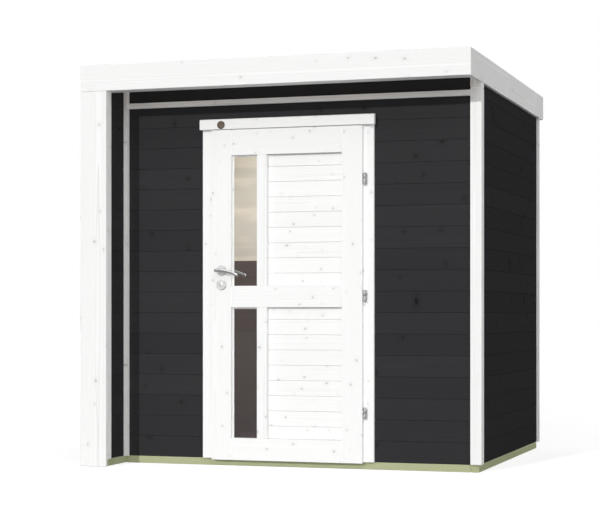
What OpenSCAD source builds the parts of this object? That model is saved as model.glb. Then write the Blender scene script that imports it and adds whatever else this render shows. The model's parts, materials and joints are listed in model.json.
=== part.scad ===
// Wooden garden shed with a flat roof: boarded walls on a treated base, white roof edge and corner
// trims, a boxed wing wall that carries the roof on the left, and a boarded and glazed door.
// Millimetres. The origin is on the ground under the middle of the roof, the front faces -Y, +Z is up.

/* [Roof] */
// Width over the side fascia boards
roof_w = 2170; // [1900:10:3000]
// Depth over the front and rear fascia boards
roof_d = 2130; // [1900:10:3000]
// Height from the ground to the top of the front fascia
shed_h = 2185; // [2170:5:2500]
// Height of the fascia boards
fascia_h = 142; // [138:1:180]
// Thickness of the fascia boards and of the white trims on the front
trim_t = 20; // [16:1:28]
// How far the roof stands forward of the front wall
front_overhang = 300; // [250:5:400]
// How far the roof stands behind the rear wall
rear_overhang = 130; // [60:5:200]
// Depth of the beam behind the front fascia, front to back
edge_beam_w = 80; // [60:1:100]
// Height of the beam behind the front fascia
edge_beam_h = 40; // [30:1:45]
// Number of rafters
rafter_count = 6; // [4:1:9]
// Width of a rafter
rafter_w = 40; // [35:1:60]
// Height of a rafter at the front
rafter_front_h = 60; // [50:1:70]
// Height of a rafter at the rear, less than at the front so that water runs off
rafter_rear_h = 30; // [25:1:45]
// Thickness of the roof boards
deck_t = 16; // [12:1:19]
// Thickness of the roof membrane
membrane_t = 4; // [2:0.5:5]
// Gap between the sloping layers of the roof
layer_gap = 0.2; // [0.1:0.1:0.5]

/* [Walls] */
// Thickness of the wall boards
wall_t = 28; // [19:1:44]
// Height of the treated base beams
base_h = 40; // [35:1:80]
// Width of the treated base beams
base_w = 45; // [40:1:80]
// Number of floor joists between the side beams
joist_count = 4; // [2:1:7]
// Width of a floor joist
joist_w = 40; // [35:1:60]
// Thickness of the floor boards
floor_t = 19; // [16:1:28]
// Side of the square corner posts
post_w = 60; // [45:1:90]
// Width of a corner trim seen from the front or the rear
corner_trim_front_w = 60; // [55:1:90]
// Width of the front corner trim seen from the side
corner_trim_side_w = 64; // [55:1:90]
// How far the corner trims stand out past the side walls
corner_trim_t = 16; // [12:1:20]
// Height of the batten over the door
batten_h = 30; // [25:1:45]
// Distance from the fascia's lower edge down to the batten
batten_drop = 38; // [20:1:45]

/* [Wing] */
// Width of the white board on the front of the wing wall
wing_w = 154; // [150:1:220]
// Thickness of the wing's inner lining
lining_t = 20; // [16:1:28]
// Width of the trim on the wing's front edges, measured over the front board
wing_edge_trim_w = 70; // [60:1:100]
// Thickness of the trim on the wing's inner front edge
wing_inner_trim_t = 14; // [10:1:18]
// Width of the trim where the wing meets the front wall
wing_corner_trim_w = 36; // [30:1:100]
// Side of the posts inside the wing, measured front to back
wing_post_d = 60; // [45:1:80]

/* [Door] */
// Width of the door leaf
leaf_w = 857; // [780:1:1000]
// Distance from the fascia's lower edge down to the leaf's upper edge
leaf_drop = 207; // [200:1:260]
// Thickness of the door leaf
leaf_t = 40; // [38:1:48]
// Thickness of the leaf's lip, which laps over the front of the frame
lip_t = 16; // [14:1:20]
// Gap between the rebated rear part of the leaf and the door opening
rebate_gap = 7; // [6:0.5:10]
// Height of the leaf's lower edge above the ground
leaf_bottom = 34; // [20:1:36]
// Distance from the middle of the shed to the middle of the leaf
leaf_middle = 10.5; // [-60:0.5:60]
// Gap between the lip and the frame behind it
leaf_gap = 5; // [5:0.5:8]
// Width of the stiles
stile_w = 114; // [100:1:130]
// Width of the glass
glass_w = 150; // [120:1:200]
// Width of the mullion between glass and panel
mullion_w = 55; // [45:1:80]
// Height of the bottom rail
bottom_rail_h = 120; // [100:1:160]
// Height of the middle rail
middle_rail_h = 117; // [100:1:160]
// Height of the top rail
top_rail_h = 139; // [100:1:170]
// How far the boarded panels lie behind the front of the leaf
panel_recess = 24; // [12:1:24]
// Thickness of the boarded panels
panel_t = 13; // [10:1:14]
// How far the glass lies behind the front of the leaf
glass_recess = 24; // [14:1:25]
// Thickness of the glass
glass_t = 4; // [3:0.5:6]
// Width of the glazing beads
bead_w = 8; // [6:1:14]
// Depth of the glazing beads
bead_d = 6; // [4:1:8]

/* [Door frame] */
// Width of the jambs
jamb_w = 74; // [60:1:90]
// How far the leaf laps over the frame
frame_lap = 15; // [10:1:25]
// How far the frame stands proud of the wall
frame_proud = 20; // [15:1:30]
// Height of the head above the lap
head_h = 76; // [70:1:90]
// Gap between the leaf's upper edge and the cap over it
cap_gap = 5; // [5:0.5:8]
// How far the cap stands forward of the frame
cap_d = 25; // [22:1:45]
// How far the cap runs past the frame at each side
cap_over = 9; // [0:1:20]
// Rounding on the front upper edge of the cap
cap_round = 10; // [4:1:14]
// Diameter of the plain disc on the cap
disc_d = 44; // [30:1:46]
// Thickness of the plain disc on the cap
disc_t = 4; // [2:0.5:6]
// Distance from the leaf's left edge to the middle of the disc
disc_inset = 57; // [40:1:200]

/* [Hinges] */
// Radius of the hinge barrels
hinge_r = 10; // [8:0.5:11]
// Height of a hinge with both barrels
hinge_h = 60; // [54:1:90]
// Radius of the hinge pins
hinge_pin_r = 4; // [3:0.5:5]
// Radial clearance of the pins in the upper barrels
pin_clearance = 0.05; // [0.02:0.01:0.1]
// Gap between the lower and the upper barrel
barrel_gap = 0.6; // [0.4:0.1:1]
// Radius of the drill-in legs
hinge_leg_r = 4; // [3:0.5:5]
// Gap between a barrel and the leaf's edge
hinge_leaf_gap = 3; // [2:0.5:5]
// Distance from the leaf's front to the hinge axis
hinge_axis_depth = 8; // [7:0.5:10]
// Height of the lowest hinge above the leaf's lower edge
hinge_low = 268; // [200:1:350]
// Distance of the highest hinge below the leaf's upper edge
hinge_high = 283; // [200:1:350]

/* [Lever] */
// Height of the lever's axis above the leaf's lower edge
lever_h = 1035; // [1015:1:1060]
// Distance of the lever's axis from the leaf's left edge
lever_inset = 59; // [54:1:75]
// Radius of the lever's arch
arch_r = 215; // [150:1:250]
// Length of the lever past its axis, towards the hinges
lever_long = 113; // [90:1:125]
// Length of the lever past its axis, towards the leaf's edge
lever_short = 27; // [20:1:30]
// Height of the lever bar
lever_bar_h = 16; // [10:1:18]
// Depth of the lever bar
lever_bar_d = 11; // [8:1:16]
// Bevel along the edges of the lever bar
lever_bevel = 3; // [1:0.5:4]
// Clear space between the rosette and the lever bar
lever_reach = 34; // [28:1:38]
// Radius of the lever's neck
neck_r = 8; // [6:0.5:10]
// Radius of the spindle inside the leaf
spindle_r = 5; // [4:0.5:5.5]
// Radius of the spindle hole through the leaf
spindle_hole_r = 6; // [6:0.5:8]
// Radial clearance of the neck in its rosette
neck_clearance = 0.05; // [0.02:0.01:0.1]
// Diameter of the rosettes
rosette_d = 56; // [48:1:60]
// Thickness of the rosettes
rosette_t = 8; // [6:0.5:10]
// Distance from the lever's axis down to the keyhole's axis
key_drop = 78; // [72:1:95]
// Radius of the lock barrel in the key rosette
lock_r = 8.5; // [7:0.5:10]
// How far the lock barrel stands out of its rosette
lock_proud = 2; // [1:0.5:4]

/* [Hidden] */
$fn = 64;

// How far a cutting shape reaches past the faces that it cuts
past = 1;

// Colours as painted, treated or bare
WHITE = "white";
ANTHRACITE = "#36363a";
TREATED = "#a9ad84";
BARE_WOOD = "#d8bc8c";
MEMBRANE = "#3c3d3f";
STEEL = "#c4c6c8";

// Outer faces of the shed, from the roof edge inwards
edge_x = roof_w / 2;
edge_y = roof_d / 2;
wall_x = edge_x - trim_t;
wall_in_x = wall_x - wall_t;
front_y = front_overhang - edge_y;
front_in_y = front_y + wall_t;
rear_y = edge_y - rear_overhang;
rear_in_y = rear_y - wall_t;
roof_front_y = trim_t - edge_y;
roof_rear_y = edge_y - trim_t;
corner_out_x = wall_x + corner_trim_t;
corner_in_x = corner_out_x - corner_trim_front_w;

// Heights of the wall, its batten and the roof edge
fascia_bottom = shed_h - fascia_h;
wall_top = fascia_bottom + edge_beam_h;
floor_top = base_h + floor_t;
batten_top = fascia_bottom - batten_drop;

// Wing on the left
wing_in_x = wing_w - edge_x;
lining_x = wing_in_x - wing_inner_trim_t;
wing_corner_x = lining_x + trim_t;
wing_edge_y = wing_edge_trim_w - edge_y;

// Door leaf and frame
leaf_x0 = leaf_middle - leaf_w / 2;
leaf_x1 = leaf_middle + leaf_w / 2;
leaf_top = fascia_bottom - leaf_drop;
frame_y = front_y - frame_proud;
lip_back = frame_y - leaf_gap;
leaf_front = lip_back - lip_t;
leaf_back = leaf_front + leaf_t;
door_x0 = leaf_x0 + frame_lap;
door_x1 = leaf_x1 - frame_lap;
frame_x0 = door_x0 - jamb_w;
frame_x1 = door_x1 + jamb_w;
head_z = leaf_top - frame_lap;
head_top = head_z + head_h;
rebate_x0 = door_x0 + rebate_gap;
rebate_x1 = door_x1 - rebate_gap;
rebate_z0 = floor_top + rebate_gap;
rebate_z1 = head_z - rebate_gap;
cap_z = leaf_top + cap_gap;
glass_x0 = leaf_x0 + stile_w;
glass_x1 = glass_x0 + glass_w;
panel_x0 = glass_x1 + mullion_w;
panel_x1 = leaf_x1 - stile_w;
panel_h = (leaf_top - leaf_bottom - bottom_rail_h - middle_rail_h - top_rail_h) / 2;
lower_z0 = leaf_bottom + bottom_rail_h;
lower_z1 = lower_z0 + panel_h;
upper_z0 = lower_z1 + middle_rail_h;
upper_z1 = upper_z0 + panel_h;
lights = [[lower_z0, lower_z1], [upper_z0, upper_z1]];
glass_y0 = leaf_front + glass_recess;
glass_y1 = glass_y0 + glass_t;

// Hinges and lever
hinge_x = leaf_x1 + hinge_leaf_gap + hinge_r;
hinge_y = leaf_front + hinge_axis_depth;
hinge_bottom_z = leaf_bottom + hinge_low;
hinge_top_z = leaf_top - hinge_high;
hinge_heights = [hinge_bottom_z, (hinge_bottom_z + hinge_top_z) / 2, hinge_top_z];
lever_x = leaf_x0 + lever_inset;
lever_z = leaf_bottom + lever_h;
leaf_middle_y = (leaf_front + leaf_back) / 2;

// Height of the rafters' upper edge at a depth y, which falls to the rear
function fall_z(y) = wall_top + rafter_front_h
    - (rafter_front_h - rafter_rear_h) * (y - roof_front_y) / (roof_rear_y - roof_front_y);

// A box between two corners
module block(low, high) translate(low) cube(high - low);

// A prism along X with an outline in Y and Z
module along_x(x0, x1, outline)
    translate([x0, 0, 0]) rotate([90, 0, 90]) linear_extrude(x1 - x0) polygon(outline);

// Timber that stands level on the wall tops and is cut to the fall of the roof above
module under_fall(x0, x1, y0, y1, z0)
    along_x(x0, x1, [[y0, z0], [y1, z0], [y1, fall_z(y1)], [y0, fall_z(y0)]]);

// A layer of the roof that follows the fall, lift above the rafters
module on_fall(lift, t)
    along_x(-wall_x, wall_x, [
        for (p = [[roof_front_y, 0], [edge_y, 0], [edge_y, t], [roof_front_y, t]])
            [p.x, fall_z(p.x) + lift + p.y]
    ]);

// A round bar along Y
module bar_y(x, z, y0, y1, r) translate([x, y0, z]) rotate([-90, 0, 0]) cylinder(h = y1 - y0, r = r);

// Left edges of the rafters
function rafter_x(i) = -wall_x + i * (2 * wall_x - rafter_w) / (rafter_count - 1);

// Base and floor
module base_front() color(TREATED)
    block([base_w - wall_x, front_y, 0], [wall_x - base_w, front_y + base_w, base_h]);

module base_rear() color(TREATED)
    block([base_w - wall_x, rear_y - base_w, 0], [wall_x - base_w, rear_y, base_h]);

// The side beams run through to the front, the left one on under the wing
module base_sides() color(TREATED) {
    block([-wall_x, roof_front_y, 0], [base_w - wall_x, rear_y, base_h]);
    block([wall_x - base_w, front_y, 0], [wall_x, rear_y, base_h]);
}

module base_wing() color(TREATED) block([lining_x - base_w, roof_front_y, 0], [lining_x, front_y, base_h]);

module floor_joists() {
    first = base_w - wall_x;
    gap = (-2 * first - joist_count * joist_w) / (joist_count + 1);
    color(TREATED)
        for (i = [0 : joist_count - 1]) {
            x = first + gap + i * (joist_w + gap);
            block([x, front_y + base_w, 0], [x + joist_w, rear_y - base_w, base_h]);
        }
}

module floor_boards() color(BARE_WOOD)
    block([-wall_in_x, front_in_y, base_h], [wall_in_x, rear_in_y, floor_top]);

module corner_posts() color(BARE_WOOD)
    for (x = [-wall_in_x, wall_in_x - post_w], y = [front_in_y, rear_in_y - post_w])
        block([x, y, floor_top], [x + post_w, y + post_w, wall_top]);

// Walls, split beside and over the doorway
module front_wall_left() color(ANTHRACITE)
    block([-wall_in_x, front_y, base_h], [frame_x0, front_in_y, wall_top]);

module front_wall_right() color(ANTHRACITE)
    block([frame_x1, front_y, base_h], [wall_in_x, front_in_y, wall_top]);

module front_wall_top() color(ANTHRACITE)
    block([frame_x0, front_y, head_top], [frame_x1, front_in_y, wall_top]);

module right_wall() color(ANTHRACITE) block([wall_in_x, front_y, base_h], [wall_x, rear_y, wall_top]);

module left_wall() color(ANTHRACITE)
    block([-wall_x, roof_front_y, base_h], [-wall_in_x, rear_y, wall_top]);

module rear_wall() color(ANTHRACITE) block([-wall_in_x, rear_in_y, base_h], [wall_in_x, rear_y, wall_top]);

// Wing wall
module wing_lining() color(ANTHRACITE)
    block([lining_x - lining_t, roof_front_y, base_h], [lining_x, front_y, wall_top]);

module wing_posts() color(BARE_WOOD)
    for (y = [roof_front_y, front_y - wing_post_d])
        block([-wall_in_x, y, base_h], [lining_x - lining_t, y + wing_post_d, wall_top]);

module wing_front_board() color(WHITE) block([-edge_x, -edge_y, 0], [wing_in_x, roof_front_y, fascia_bottom]);

module wing_edge_trims() color(WHITE)
    for (x = [[-edge_x, -wall_x], [lining_x, wing_in_x]])
        block([x[0], roof_front_y, base_h], [x[1], wing_edge_y, fascia_bottom]);

module wing_corner_trim() color(WHITE)
    block([lining_x, front_y - wing_corner_trim_w, base_h], [wing_corner_x, front_y, wall_top]);

// Corner trims and batten
module corner_trim_front() {
    trim_y = front_y - trim_t;
    color(WHITE) union() {
        block([corner_in_x, trim_y, base_h], [corner_out_x, front_y, fascia_bottom]);
        block([corner_in_x, trim_y, base_h], [wall_x, front_y, wall_top]);
        block([wall_x, trim_y, base_h], [corner_out_x, trim_y + corner_trim_side_w, fascia_bottom]);
    }
}

module corner_trims_rear() color(WHITE)
    for (x = [-corner_out_x, corner_in_x])
        block([x, rear_y, base_h], [x + corner_trim_front_w, rear_y + trim_t, fascia_bottom]);

module front_batten() color(WHITE)
    block([wing_corner_x, front_y - trim_t, batten_top - batten_h], [corner_in_x, front_y, batten_top]);

// Roof edge and roof
module fascia_front() color(WHITE) block([-edge_x, -edge_y, fascia_bottom], [edge_x, roof_front_y, shed_h]);

module fascia_sides() color(WHITE)
    for (x = [-edge_x, wall_x]) block([x, roof_front_y, fascia_bottom], [x + trim_t, edge_y, shed_h]);

module fascia_rear() color(WHITE) under_fall(-wall_x, wall_x, roof_rear_y, edge_y, fascia_bottom);

module front_edge_beam() color(WHITE)
    block([lining_x, roof_front_y, fascia_bottom], [wall_x, roof_front_y + edge_beam_w, wall_top]);

module rafters() color(BARE_WOOD)
    for (i = [0 : rafter_count - 1])
        under_fall(rafter_x(i), rafter_x(i) + rafter_w, roof_front_y, roof_rear_y, wall_top);

module eaves_blocks() color(BARE_WOOD)
    for (i = [0 : rafter_count - 2], y = [front_y, rear_in_y])
        under_fall(rafter_x(i) + rafter_w, rafter_x(i + 1), y, y + wall_t, wall_top);

module roof_deck() color(BARE_WOOD) on_fall(layer_gap, deck_t);

module roof_membrane() color(MEMBRANE) on_fall(deck_t + 2 * layer_gap, membrane_t);

// Door frame
module door_jambs() color(WHITE)
    for (x = [frame_x0, door_x1]) block([x, frame_y, base_h], [x + jamb_w, front_in_y, head_z]);

module door_head() color(WHITE) block([frame_x0, frame_y, head_z], [frame_x1, front_in_y, head_top]);

module door_sill() color(WHITE) block([door_x0, frame_y, base_h], [door_x1, front_in_y, floor_top]);

module door_cap() {
    front = frame_y - cap_d;
    color(WHITE) union() {
        block([frame_x0 - cap_over, front, cap_z], [frame_x1 + cap_over, frame_y, head_top - cap_round]);
        block([frame_x0 - cap_over, front + cap_round, cap_z], [frame_x1 + cap_over, frame_y, head_top]);
        translate([frame_x0 - cap_over, front + cap_round, head_top - cap_round])
            rotate([0, 90, 0]) cylinder(h = frame_x1 - frame_x0 + 2 * cap_over, r = cap_round);
    }
}

module cap_disc() {
    middle_z = (cap_z + head_top - cap_round) / 2;
    front = frame_y - cap_d;
    color("#6f5a44") bar_y(leaf_x0 + disc_inset, middle_z, front - disc_t, front, disc_d / 2);
}

// Lower barrels with their pins and the legs that are drilled into the jamb
module hinge_frame_parts() color(STEEL)
    for (z = hinge_heights) union() {
        barrel_h = (hinge_h - barrel_gap) / 2;
        translate([hinge_x, hinge_y, z - hinge_h / 2]) cylinder(h = barrel_h, r = hinge_r);
        translate([hinge_x, hinge_y, z - hinge_h / 2]) cylinder(h = hinge_h, r = hinge_pin_r);
        bar_y(hinge_x, z - hinge_h / 4, hinge_y, frame_y, hinge_leg_r);
    }

// Upper barrels and the legs that are drilled into the leaf's edge
module hinge_leaf_parts() color(STEEL)
    for (z = hinge_heights) {
        barrel_h = (hinge_h - barrel_gap) / 2;
        difference() {
            union() {
                translate([hinge_x, hinge_y, z + barrel_gap / 2]) cylinder(h = barrel_h, r = hinge_r);
                translate([leaf_x1, hinge_y, z + hinge_h / 4])
                    rotate([0, 90, 0]) cylinder(h = hinge_x - leaf_x1, r = hinge_leg_r);
            }
            translate([hinge_x, hinge_y, z]) cylinder(h = hinge_h, r = hinge_pin_r + pin_clearance);
        }
    }

// A bar of the leaf: its front is the lip, and its rear part is cut back to close inside the frame
module rebated(x0, x1, z0, z1) union() {
    block([x0, leaf_front, z0], [x1, lip_back, z1]);
    block([max(x0, rebate_x0), leaf_front, max(z0, rebate_z0)],
          [min(x1, rebate_x1), leaf_back, min(z1, rebate_z1)]);
}

// Door leaf
module door_stiles() color(WHITE) {
    difference() {
        rebated(leaf_x0, glass_x0, leaf_bottom, leaf_top);
        bar_y(lever_x, lever_z, leaf_front - past, leaf_back + past, spindle_hole_r);
    }
    rebated(panel_x1, leaf_x1, leaf_bottom, leaf_top);
}

module door_rails() color(WHITE)
    for (z = [[leaf_bottom, lower_z0], [lower_z1, upper_z0], [upper_z1, leaf_top]])
        rebated(glass_x0, panel_x1, z[0], z[1]);

module door_mullions() color(WHITE)
    for (z = lights) block([glass_x1, leaf_front, z[0]], [panel_x0, leaf_back, z[1]]);

module door_panels() {
    panel_y = leaf_front + panel_recess;
    color(WHITE)
        for (z = lights) block([panel_x0, panel_y, z[0]], [panel_x1, panel_y + panel_t, z[1]]);
}

module door_glass() color("#b8aea4", 0.5)
    for (z = lights) block([glass_x0, glass_y0, z[0]], [glass_x1, glass_y1, z[1]]);

// Beads up both sides and along the top of each pane, whose foot stands on the rail
module glazing_beads() color(WHITE)
    for (z = lights, y = [glass_y0 - bead_d, glass_y1]) difference() {
        block([glass_x0, y, z[0]], [glass_x1, y + bead_d, z[1]]);
        block([glass_x0 + bead_w, y - past, z[0] - past],
              [glass_x1 - bead_w, y + bead_d + past, z[1] - bead_w]);
    }

// Round plates on both faces of the leaf, with the lock barrel in the lower ones
module door_rosettes() {
    key_z = lever_z - key_drop;
    color(STEEL)
        for (side = [[leaf_front - rosette_t, lock_proud, 0], [leaf_back, 0, lock_proud]]) {
            y0 = side[0];
            y1 = y0 + rosette_t;
            difference() {
                bar_y(lever_x, lever_z, y0, y1, rosette_d / 2);
                bar_y(lever_x, lever_z, y0 - past, y1 + past, neck_r + neck_clearance);
            }
            bar_y(lever_x, key_z, y0, y1, rosette_d / 2);
            bar_y(lever_x, key_z, y0 - side[1], y1 + side[2], lock_r);
        }
}

// One lever: an arched bar on a neck through the rosette, and half of the spindle
module lever(turn) {
    start = asin(lever_short / arch_r);
    sweep = start + asin(lever_long / arch_r);
    half_h = lever_bar_h / 2;
    half_d = lever_bar_d / 2;
    flat_h = half_h - lever_bevel;
    flat_d = half_d - lever_bevel;
    section = [
        [half_h, flat_d], [flat_h, half_d], [-flat_h, half_d], [-half_h, flat_d],
        [-half_h, -flat_d], [-flat_h, -half_d], [flat_h, -half_d], [half_h, -flat_d],
    ];
    out = leaf_t / 2 + rosette_t + lever_reach;
    translate([lever_x, leaf_middle_y, lever_z]) mirror([0, turn, 0]) union() {
        translate([0, -out - half_d, -arch_r]) rotate([90, 0, 0])
            rotate([0, 0, 90 + start - sweep])
                rotate_extrude(angle = sweep, $fn = 128) translate([arch_r, 0]) polygon(section);
        translate([0, -out - half_d, 0]) rotate([-90, 0, 0])
            cylinder(h = lever_reach + rosette_t + half_d - barrel_gap, r = neck_r);
        translate([0, -leaf_t / 2 - barrel_gap, 0]) rotate([-90, 0, 0])
            cylinder(h = leaf_t / 2 + barrel_gap, r = spindle_r);
    }
}

module lever_outside() color(STEEL) lever(0);

module lever_inside() color(STEEL) lever(1);

base_front();
base_rear();
base_sides();
base_wing();
floor_joists();
floor_boards();
corner_posts();
front_wall_left();
front_wall_right();
front_wall_top();
right_wall();
left_wall();
rear_wall();
wing_lining();
wing_posts();
wing_front_board();
wing_edge_trims();
wing_corner_trim();
corner_trim_front();
corner_trims_rear();
front_batten();
fascia_front();
fascia_sides();
fascia_rear();
front_edge_beam();
rafters();
eaves_blocks();
roof_deck();
roof_membrane();
door_jambs();
door_head();
door_sill();
door_cap();
cap_disc();
hinge_frame_parts();
door_stiles();
door_rails();
door_mullions();
door_panels();
door_glass();
glazing_beads();
door_rosettes();
hinge_leaf_parts();
lever_outside();
lever_inside();
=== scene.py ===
"""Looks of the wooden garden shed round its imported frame: boards, trims, glazed door, fittings, stage."""

import json
import math
import random

import bmesh
import bpy
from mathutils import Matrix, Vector


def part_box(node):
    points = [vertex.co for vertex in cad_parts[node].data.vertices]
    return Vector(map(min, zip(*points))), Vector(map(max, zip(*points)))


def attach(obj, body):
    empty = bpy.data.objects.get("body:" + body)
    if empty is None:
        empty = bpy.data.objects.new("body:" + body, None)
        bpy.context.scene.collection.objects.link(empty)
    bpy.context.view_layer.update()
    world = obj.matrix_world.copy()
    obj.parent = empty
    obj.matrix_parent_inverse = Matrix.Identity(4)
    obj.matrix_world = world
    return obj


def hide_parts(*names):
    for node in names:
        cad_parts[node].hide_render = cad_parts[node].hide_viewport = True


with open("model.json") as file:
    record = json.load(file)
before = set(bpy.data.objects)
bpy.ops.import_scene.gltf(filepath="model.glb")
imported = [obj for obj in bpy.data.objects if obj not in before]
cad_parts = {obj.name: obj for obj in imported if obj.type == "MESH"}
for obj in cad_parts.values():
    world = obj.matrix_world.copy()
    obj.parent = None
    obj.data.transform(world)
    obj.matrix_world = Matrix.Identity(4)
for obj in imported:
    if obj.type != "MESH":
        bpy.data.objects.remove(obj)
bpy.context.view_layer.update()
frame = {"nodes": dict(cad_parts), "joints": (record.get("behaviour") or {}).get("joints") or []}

# Boards, in metres: the width of a board that shows, and the shape of the seam between two boards
WALL_BOARD = 0.114
FLOOR_BOARD = 0.0965
ROOF_BOARD = 0.121
PANEL_BOARD = 0.0827
PANEL_SEAMS = 8
WALL_SEAM = {"vee": 0.0015, "gap": 0.0006, "deep": 0.002, "back": 0.0015}
FLOOR_SEAM = {"vee": 0.0008, "gap": 0.0010, "deep": 0.004, "back": 0.0008}
ROOF_SEAM = {"vee": 0.0030, "gap": 0.0008, "deep": 0.003, "back": 0.0008}
PANEL_SEAM = {"vee": 0.0030, "gap": 0.0010, "deep": 0.002, "back": 0.0025}

# Timbers: how far long edges are eased, the shortest edge that is, and the log that their grain comes from
TRIM_EDGE = 0.0015
SAWN_EDGE = 0.0025
BASE_EDGE = 0.0050
EDGE_STEPS = 2
EDGE_ROUNDNESS = 0.6
LONG_EDGE = 0.012
LOG_LENGTH = 40.0
HEART_ASIDE = 0.4
HEART_AWAY = (0.025, 0.060)

# Joints: the chamfer that shows one, and their places on the side fascias (Y) and the corner trim (Z)
RAIL_JOINT = 0.005
TRIM_JOINT = 0.004
FASCIA_JOINTS = (-0.06, 0.79)
CORNER_JOINTS = (2.015,)

# Inside face of the walls: dark up to the dado's height, painted shade for the dark inside seen low through
# the glass; limed boards above it that turn greyer
DADO_HEIGHT = 1.1765
GREYER_FROM = 1.55
GREYER_TO = 1.85

# Relief, in metres: how deep the grain, the granules or the brushing of each finish is
PAINT_RELIEF = 0.0002
SAWN_RELIEF = 0.0004
INSIDE_RELIEF = 0.0003
FELT_RELIEF = 0.0015
BRUSHED_RELIEF = 0.00003

# Roofing felt: a sheet's share of the membrane, the widths and their laps, and its edge below the fascia
FELT_SHARE = 0.6
FELT_WIDTHS = 3
FELT_LAP = 0.08
LAP_CREST = 0.01
LAP_FOOT = 0.03
FELT_DROP = 0.006

# Glazing beads
BEAD_WIDTH = 0.008
BEAD_FLAT = 0.004
BEAD_LIP = 0.003

# Lever: the arch from its rear end to its tip, its section, its rounded ends, and what carries it
ARCH_RADIUS = 0.215
ARCH_BACK = 0.027
ARCH_FRONT = 0.113
LEVER_HALF_HEIGHT = 0.008
LEVER_HALF_DEPTH = 0.0055
LEVER_SQUARENESS = 0.62
LEVER_END = 0.0045
LEVER_END_SIZE = 0.25
LEVER_STEPS = 40
LEVER_SIDES = 20
NECK_RADIUS = 0.008
SPINDLE_RADIUS = 0.005

# Rosettes of the lever and, lower down, of the lock
ROSETTE_RADIUS = 0.028
ROSETTE_THICK = 0.008
ROSETTE_EASE = 0.0018
LOCK_RADIUS = 0.0085
LOCK_PROUD = 0.002
KEY_DROP = 0.078

# Hinges: the pin, the legs in frame and leaf, and the barrels that are eased at their ends
PIN_RADIUS = 0.004
LEG_RADIUS = 0.004
ARM_GAP = 0.001
BARREL_RADIUS = 0.010
BARREL_EASE = 0.0015
SLEEVE_FOOT = 0.001
SLEEVE_TOP = 0.002

# Plain disc on the door cap: a raised rim round a low dome, in shares of its radius and thickness
DISC_OUTLINE = ((0, 0), (1, 0), (1, 0.7), (0.94, 1), (0.86, 1), (0.82, 0.7), (0.45, 0.85), (0, 0.9))

# Turned pieces: the room round a pin or neck, and the sides of a round
TURN_CLEARANCE = 0.0002
TURN_SIDES = 40

# Camera of the photograph
CAMERA_PLACE = (2.905, -9.464, 0.834)
CAMERA_YAW = 18.0
CAMERA_LENS = 101.4
CAMERA_SENSOR = 36.0
CAMERA_SHIFT = 0.094

# Light: far lamps by their turn to the left of the front, height and width in degrees; sky, floor and room
FAR_LAMPS = {
    "key_lamp": {"turn": 12.5, "height": 19.8, "strength": 1.63, "width": 1.2, "shadow": True},
    "soft_lamp": {"turn": -30.0, "height": 30.0, "strength": 1.31, "width": 60.0, "shadow": True},
    "front_fill": {"turn": 0.0, "height": 0.0, "strength": 0.28, "width": 1.2, "shadow": False},
    "right_fill": {"turn": -90.0, "height": 0.0, "strength": 0.52, "width": 1.2, "shadow": False},
    "left_fill": {"turn": 90.0, "height": 0.0, "strength": 0.75, "width": 1.2, "shadow": False},
    "rear_fill": {"turn": 180.0, "height": 0.0, "strength": 1.25, "width": 1.2, "shadow": False},
}
SKY_STRENGTH = 0.23
FLOOR_COLOUR = 0.45
FLOOR_GLOW = 0.73
FLOOR_HALF = 60.0
ROOM_LAMP = {"strength": 26.5, "size": 1.2, "place": (0, 0.1, 2.02)}

# Meshes: angles that stay sharp, are eased or count as none, a straight normal, lengths that count as none
SHARP = math.radians(50)
SQUARE = 1.0
SAME_PLANE = 0.002
STRAIGHT = 0.9995
WELD = 1e-5
SAME = 1e-4
NEAR = 1e-3

draw = random.Random(41)


def new_cut(low, high):
    """Where a timber was sawn from its log: its axes, longest first, the log's heart, and its own shade."""
    size = high - low
    axes = sorted(range(3), key=lambda i: -round(size[i], 2))
    heart = (low + high) / 2
    heart[axes[0]] = -draw.uniform(0, LOG_LENGTH)
    heart[axes[1]] += draw.uniform(-HEART_ASIDE, HEART_ASIDE) * size[axes[1]]
    heart[axes[2]] += draw.choice((-1, 1)) * draw.uniform(*HEART_AWAY)
    return axes, heart, draw.uniform(0, 1)


class Work:
    """Boards or fittings that are gathered into one piece, each solid with its own stretch of grain."""

    def __init__(self):
        self.points = []
        self.faces = []
        self.smooth = []
        self.finish = []
        self.wood = []
        self.shade = []

    def add(self, solid, cut=None):
        """Takes a solid in, with the cut of the timber that it belongs to or a new one."""
        low, high = span(solid)
        axes, heart, shade = cut or new_cut(low, high)
        first = len(self.points)
        solid.verts.index_update()
        for v in solid.verts:
            place = v.co - heart
            self.points.append(v.co[:])
            self.wood.extend(place[i] for i in axes)
            self.shade.append(shade)
        for face in solid.faces:
            self.faces.append([first + v.index for v in face.verts])
            self.smooth.append(face.smooth)
            self.finish.append(face.material_index)
        solid.free()

    def piece(self, name, body, slot, nodes, finishes):
        """Makes the piece, which rides on a body and stands for CAD nodes."""
        mesh = bpy.data.meshes.new(name)
        mesh.from_pydata(self.points, [], self.faces)
        mesh.set_sharp_from_angle(angle=SHARP)
        mesh.polygons.foreach_set("use_smooth", self.smooth)
        mesh.polygons.foreach_set("material_index", self.finish)
        mesh.attributes.new("wood", "FLOAT_VECTOR", "POINT").data.foreach_set("vector", self.wood)
        mesh.attributes.new("shade", "FLOAT", "POINT").data.foreach_set("value", self.shade)
        for finish in finishes:
            mesh.materials.append(finish)
        thing = bpy.data.objects.new(name, mesh)
        bpy.context.scene.collection.objects.link(thing)
        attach(thing, body)
        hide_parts(*nodes)


def span(solid):
    """Lowest and highest corner of a solid."""
    points = [v.co for v in solid.verts]
    low = Vector(min(p[i] for p in points) for i in range(3))
    high = Vector(max(p[i] for p in points) for i in range(3))
    return low, high


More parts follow.
